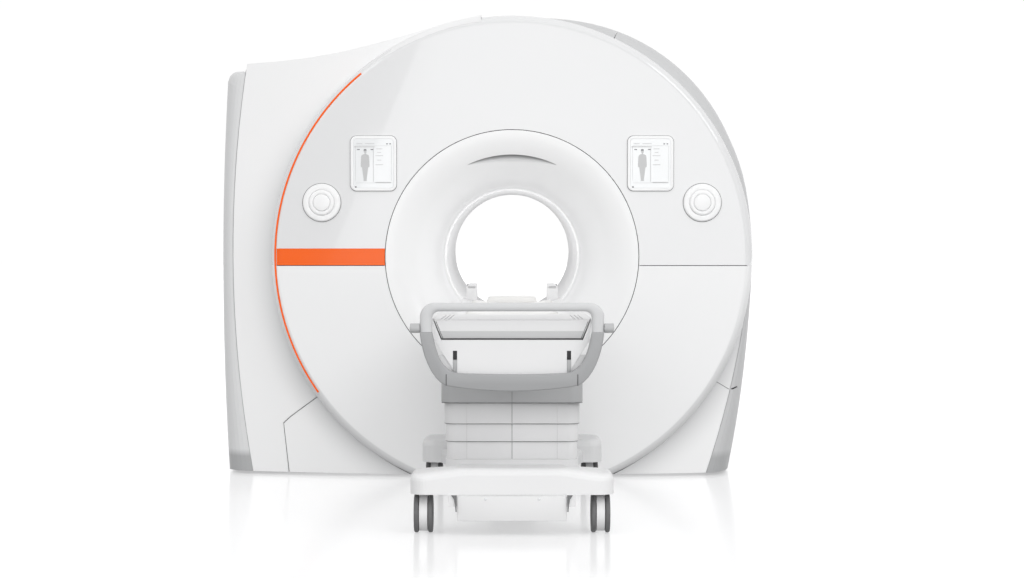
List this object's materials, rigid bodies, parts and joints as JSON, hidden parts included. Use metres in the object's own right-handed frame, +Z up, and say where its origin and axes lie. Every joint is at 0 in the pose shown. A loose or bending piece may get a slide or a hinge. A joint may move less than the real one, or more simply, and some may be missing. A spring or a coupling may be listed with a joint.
{
  "type": "mri scanner",
  "caption": "Closed-bore magnetic resonance scanner with a bell-mouth bore, round front covers, displays and dials, and a wheeled docking patient table that lifts and slides.",
  "frame": {"origin": "on the floor under the isocentre, on the underside of the magnet feet", "axes": "+X to the right seen from the front, +Y along the bore from the table into the scanner, +Z up"},
  "size_m": [2.403, 4.19, 2.0649],
  "materials": {
    "white_cover": "satin white moulded cover",
    "upper_cover": "glossy very light grey cover",
    "grey_cover": "matt light grey cover",
    "accent": "orange inlay",
    "glass": "clear display glass",
    "vessel": "welded stainless steel",
    "feet": "grey painted steel",
    "strut": "glass fibre",
    "winding": "wound conductor",
    "cooler": "machined aluminium",
    "coil": "copper in resin",
    "liner": "satin white liner",
    "table_white": "white powder coat",
    "base_white": "white moulded base cover",
    "table_grey": "grey powder coat",
    "column": "anodised aluminium",
    "fork": "light grey painted steel",
    "wheel": "grey tyre on a light core",
    "tabletop": "white fibre composite",
    "pad": "wipe-clean pad cover"
  },
  "bodies": {
    "scanner": {"magnet_feet": "feet", "vacuum_vessel": "vessel", "helium_vessel": "vessel", "suspension_struts": "strut", "magnet_coils": "winding", "cold_head": "cooler", "gradient_coil": "coil", "body_coil": "liner", "bore_liner": "liner", "bore_bed": "liner", "front_upper_cover": "upper_cover", "front_lower_cover": "white_cover", "front_funnel": "white_cover", "rear_cover": "grey_cover", "rear_funnel": "white_cover", "left_flank": "white_cover", "left_service_panel": "white_cover", "right_flank": "white_cover", "left_side_cover": "grey_cover", "right_side_cover": "grey_cover", "top_cover": "grey_cover", "roof_cover": "grey_cover", "accent_band": "accent", "accent_line": "accent", "display_housings": "white_cover", "display_glasses": "glass", "dial_bezels": "white_cover", "dock_socket": "feet"},
    "dial_ring_left": {"dial_ring_left": "grey_cover"},
    "dial_ring_right": {"dial_ring_right": "grey_cover"},
    "dial_button_left": {"dial_button_left": "white_cover"},
    "dial_button_right": {"dial_button_right": "white_cover"},
    "trolley": {"trolley_base": "base_white", "dock_arm": "feet", "pedal_brackets": "table_white", "lift_outer": "column", "stage_lower": "table_white"},
    "pedal": {"brake_pedal": "table_white"},
    "lift_mid": {"lift_mid": "column"},
    "stage_upper": {"stage_upper": "table_white"},
    "stage_middle": {"stage_middle": "table_white"},
    "table": {"table_frame": "table_white", "column_housing": "table_grey", "end_beam": "table_grey", "push_handle": "table_grey", "lift_inner": "column"},
    "lever_left": {"lever_left": "table_grey"},
    "lever_right": {"lever_right": "table_grey"},
    "tabletop": {"tabletop": "tabletop", "mattress": "pad", "head_pad": "pad", "coil_sockets": "tabletop"},
    "caster_front_left": {"caster_fork_front_left": "fork"},
    "wheels_front_left": {"caster_wheels_front_left": "wheel"},
    "caster_front_right": {"caster_fork_front_right": "fork"},
    "wheels_front_right": {"caster_wheels_front_right": "wheel"},
    "caster_rear_left": {"caster_fork_rear_left": "fork"},
    "wheels_rear_left": {"caster_wheels_rear_left": "wheel"},
    "caster_rear_right": {"caster_fork_rear_right": "fork"},
    "wheels_rear_right": {"caster_wheels_rear_right": "wheel"}
  },
  "joints": [
    {"name": "trolley_roll", "type": "slide", "parent": "scanner", "child": "trolley", "axis": [0, 1, 0], "range_m": [-1.2, 0]},
    {"name": "table_lift", "type": "slide", "parent": "trolley", "child": "table", "axis": [0, 0, 1], "range_m": [-0.19133, 0]},
    {"name": "lift_mid_slide", "type": "slide", "parent": "trolley", "child": "lift_mid", "axis": [0, 0, 1], "range_m": [-0.09567, 0]},
    {"name": "stage_upper_slide", "type": "slide", "parent": "trolley", "child": "stage_upper", "axis": [0, 0, 1], "range_m": [-0.12211, 0]},
    {"name": "stage_middle_slide", "type": "slide", "parent": "trolley", "child": "stage_middle", "axis": [0, 0, 1], "range_m": [-0.05381, 0]},
    {"name": "tabletop_travel", "type": "slide", "parent": "table", "child": "tabletop", "axis": [0, 1, 0], "range_m": [0, 1.7]},
    {"name": "pedal_tilt", "type": "hinge", "parent": "trolley", "child": "pedal", "pos_m": [0, -3.085, 0.124], "axis": [1, 0, 0], "range_deg": [-12, 12]},
    {"name": "dial_turn_left", "type": "hinge", "parent": "scanner", "child": "dial_ring_left", "pos_m": [-0.84105, -1.195, 1.21902], "axis": [0, -1, 0], "continuous": true},
    {"name": "dial_press_left", "type": "slide", "parent": "scanner", "child": "dial_button_left", "axis": [0, 1, 0], "range_m": [0, 0.003], "stiffness_N_per_m": 1200},
    {"name": "lever_lift_left", "type": "hinge", "parent": "table", "child": "lever_left", "pos_m": [-0.329, -3.17, 0.752], "axis": [1, 0, 0], "range_deg": [0, 25]},
    {"name": "dial_turn_right", "type": "hinge", "parent": "scanner", "child": "dial_ring_right", "pos_m": [0.84105, -1.195, 1.21902], "axis": [0, -1, 0], "continuous": true},
    {"name": "dial_press_right", "type": "slide", "parent": "scanner", "child": "dial_button_right", "axis": [0, 1, 0], "range_m": [0, 0.003], "stiffness_N_per_m": 1200},
    {"name": "lever_lift_right", "type": "hinge", "parent": "table", "child": "lever_right", "pos_m": [0.329, -3.17, 0.752], "axis": [1, 0, 0], "range_deg": [0, 25]},
    {"name": "swivel_front_left", "type": "hinge", "parent": "trolley", "child": "caster_front_left", "pos_m": [-0.322, -2.976, 0.147], "axis": [0, 0, 1], "continuous": true},
    {"name": "roll_front_left", "type": "hinge", "parent": "caster_front_left", "child": "wheels_front_left", "pos_m": [-0.322, -3.006, 0.07], "axis": [1, 0, 0], "continuous": true},
    {"name": "swivel_front_right", "type": "hinge", "parent": "trolley", "child": "caster_front_right", "pos_m": [0.322, -2.976, 0.147], "axis": [0, 0, 1], "continuous": true},
    {"name": "roll_front_right", "type": "hinge", "parent": "caster_front_right", "child": "wheels_front_right", "pos_m": [0.322, -3.006, 0.07], "axis": [1, 0, 0], "continuous": true},
    {"name": "swivel_rear_left", "type": "hinge", "parent": "trolley", "child": "caster_rear_left", "pos_m": [-0.322, -1.796, 0.147], "axis": [0, 0, 1], "continuous": true},
    {"name": "roll_rear_left", "type": "hinge", "parent": "caster_rear_left", "child": "wheels_rear_left", "pos_m": [-0.322, -1.826, 0.07], "axis": [1, 0, 0], "continuous": true},
    {"name": "swivel_rear_right", "type": "hinge", "parent": "trolley", "child": "caster_rear_right", "pos_m": [0.322, -1.796, 0.147], "axis": [0, 0, 1], "continuous": true},
    {"name": "roll_rear_right", "type": "hinge", "parent": "caster_rear_right", "child": "wheels_rear_right", "pos_m": [0.322, -1.826, 0.07], "axis": [1, 0, 0], "continuous": true}
  ],
  "couplings": [
    {"joint": "lift_mid_slide", "follows": "table_lift", "ratio": 0.5},
    {"joint": "stage_upper_slide", "follows": "table_lift", "ratio": 0.6377},
    {"joint": "stage_middle_slide", "follows": "table_lift", "ratio": 0.2807}
  ]
}
